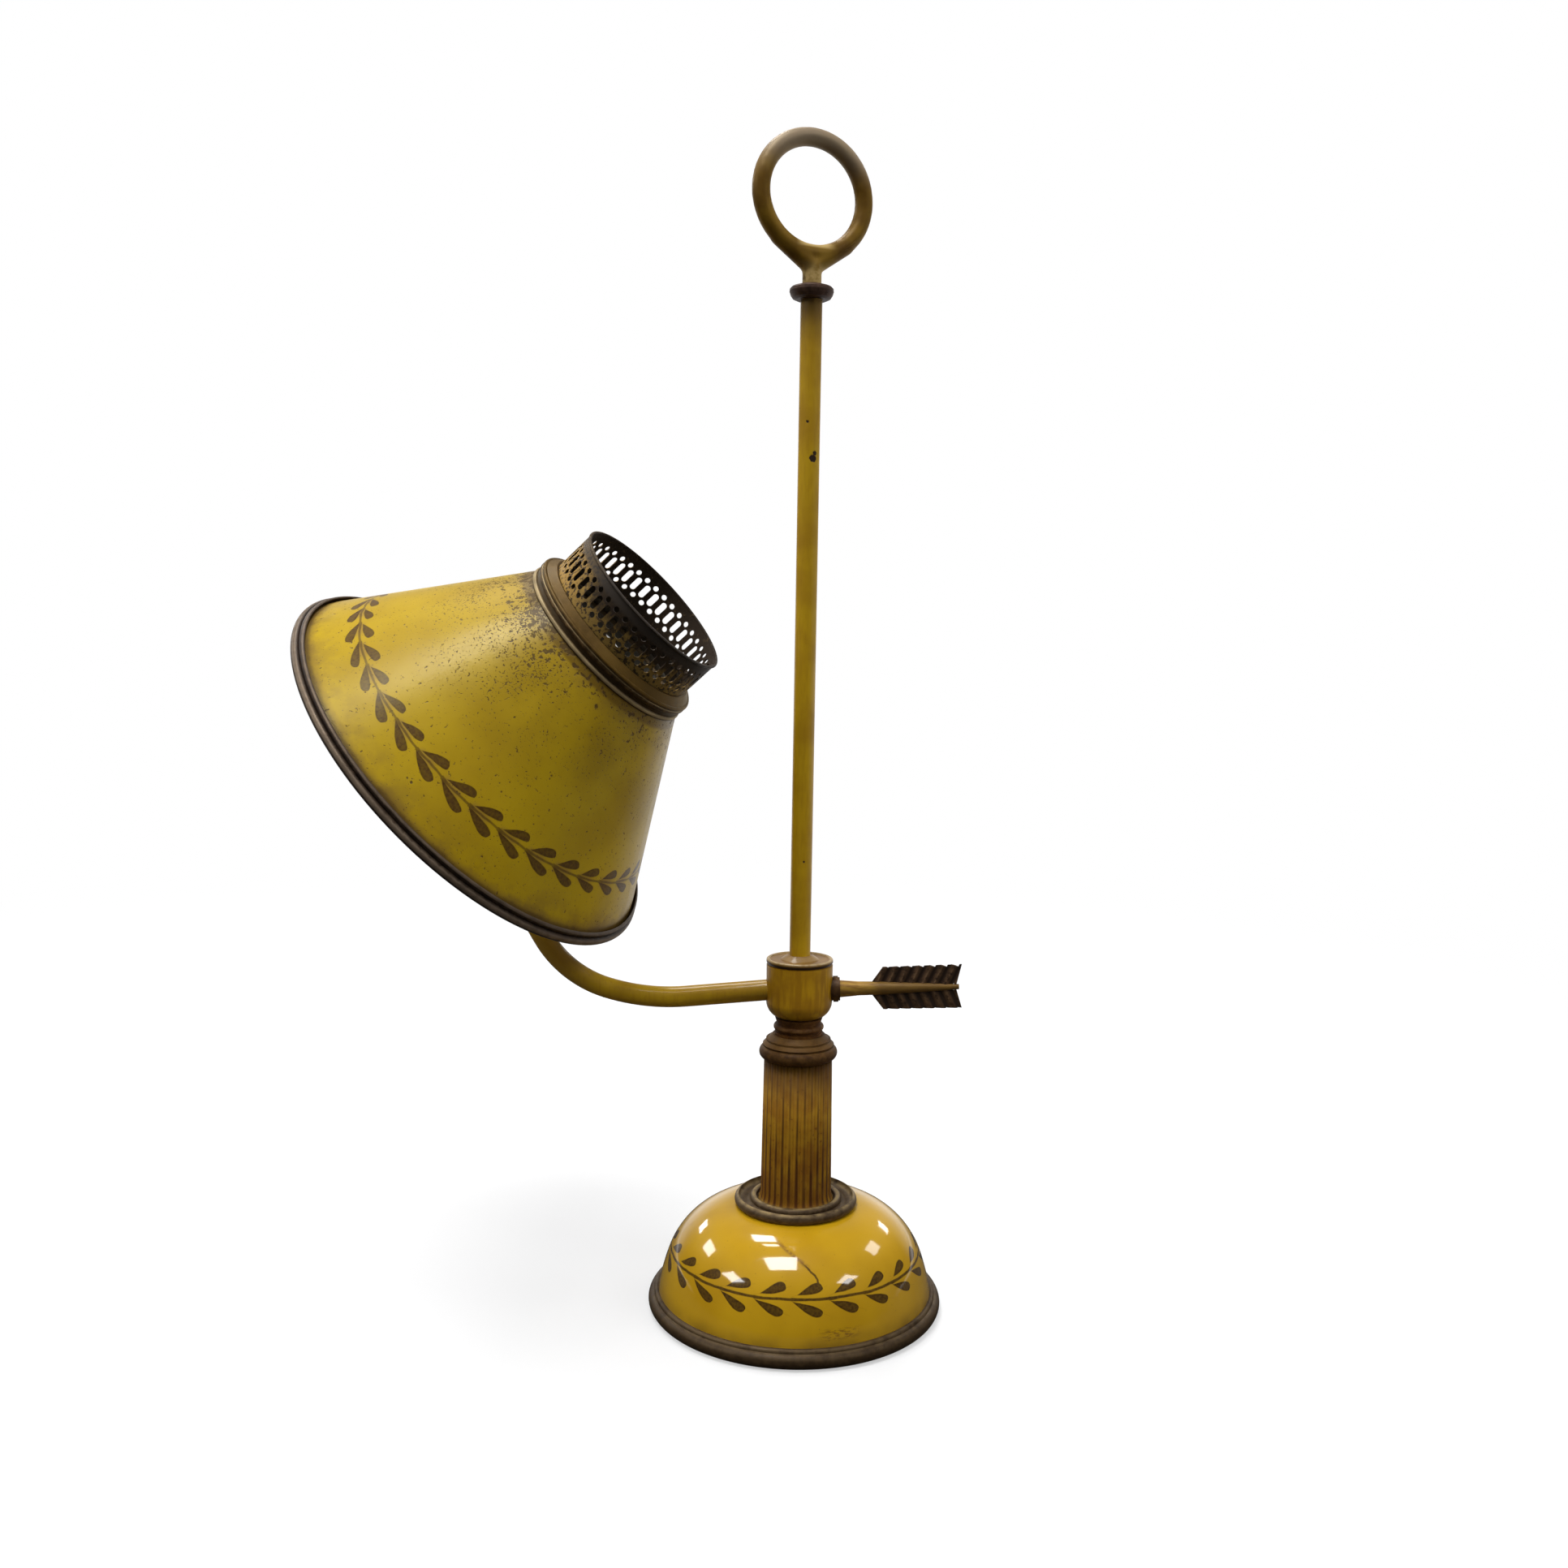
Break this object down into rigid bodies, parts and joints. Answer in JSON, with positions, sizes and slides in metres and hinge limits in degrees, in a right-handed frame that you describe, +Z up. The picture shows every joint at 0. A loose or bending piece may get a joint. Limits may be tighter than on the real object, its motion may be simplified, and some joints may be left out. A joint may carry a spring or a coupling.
{
  "type": "swing-arm table lamp",
  "caption": "Table lamp with a weighted dome base, reeded column, swivelling hub, bent side arm with an arrow tail, a tilting conical metal shade and a carrying ring on a tall rod.",
  "frame": {"origin": "centre of the felt's lower face, on the table", "axes": "+Z up along the column and rod; -X along the arm, from the hub towards the shade; +Y towards the cord inlet at the back"},
  "size_m": [0.2903, 0.1948, 0.5266],
  "materials": {
    "enamel": "gloss",
    "enamel_dark": "gloss",
    "antique_gold": "satin",
    "aged_brass": "satin",
    "dark_bronze": "satin",
    "socket_brass": "satin",
    "nickel": "satin",
    "steel": "satin",
    "iron": "rough",
    "felt": "matte",
    "fibre": "matte",
    "dark_plastic": "gloss",
    "lead": "matte",
    "bulb_glass": "frosted"
  },
  "bodies": {
    "base": {"base_felt": "felt", "base_rim": "aged_brass", "base_shell": "enamel", "base_weight": "iron", "base_washer": "steel", "base_nut": "steel", "cord_bushing": "dark_plastic", "dome_collar": "aged_brass", "column": "antique_gold", "column_cap": "aged_brass", "neck_spool": "aged_brass", "center_pipe": "steel", "swivel_washer": "fibre", "wave_washer": "steel", "hub_locknut": "steel", "column_lead": "lead"},
    "hub": {"hub_body": "enamel_dark", "hub_cap": "enamel_dark", "rod_nipple": "steel", "rod_nut": "steel", "stem_rod": "enamel_dark", "finial_collar": "dark_bronze", "ring_handle": "antique_gold", "arm_tube": "enamel_dark", "arm_locknut": "steel", "arm_lead": "lead", "arm_ferrule": "enamel_dark", "arrow_collar": "dark_bronze", "arrow_shaft": "enamel_dark", "arrow_vanes": "dark_bronze"},
    "fork": {"knuckle_lower": "aged_brass", "knuckle_screw": "steel", "knuckle_nut": "aged_brass"},
    "head": {"knuckle_upper": "aged_brass", "socket_cap": "socket_brass", "socket_shell": "socket_brass", "socket_insulator": "fibre", "socket_interior": "dark_plastic", "socket_screw_shell": "socket_brass", "socket_contact": "socket_brass", "bulb_base": "nickel", "bulb_glass": "bulb_glass", "shade_ring": "socket_brass", "shade_spider": "socket_brass", "shade_cone": "enamel", "shade_rim": "aged_brass", "shade_shoulder": "aged_brass", "shade_gallery": "antique_gold"},
    "key": {"turn_key": "dark_plastic"}
  },
  "joints": [
    {"name": "arm_swivel", "type": "hinge", "parent": "base", "child": "hub", "pos_m": [0, 0, 0.13605], "axis": [0, 0, 1], "range_deg": [-160, 160]},
    {"name": "head_turn", "type": "hinge", "parent": "hub", "child": "fork", "pos_m": [-0.15645, 0, 0.2388], "axis": [-0.5, 0, 0.866], "range_deg": [-78.6, 101.4]},
    {"name": "shade_tilt", "type": "hinge", "parent": "fork", "child": "head", "pos_m": [-0.15645, 0, 0.2388], "axis": [0.1712, 0.9803, 0.0988], "range_deg": [-77.6, 8]},
    {"name": "switch_turn", "type": "hinge", "parent": "head", "child": "key", "pos_m": [-0.13479, -0.00579, 0.25874], "axis": [0.6706, -0.0424, -0.7406], "continuous": true}
  ]
}
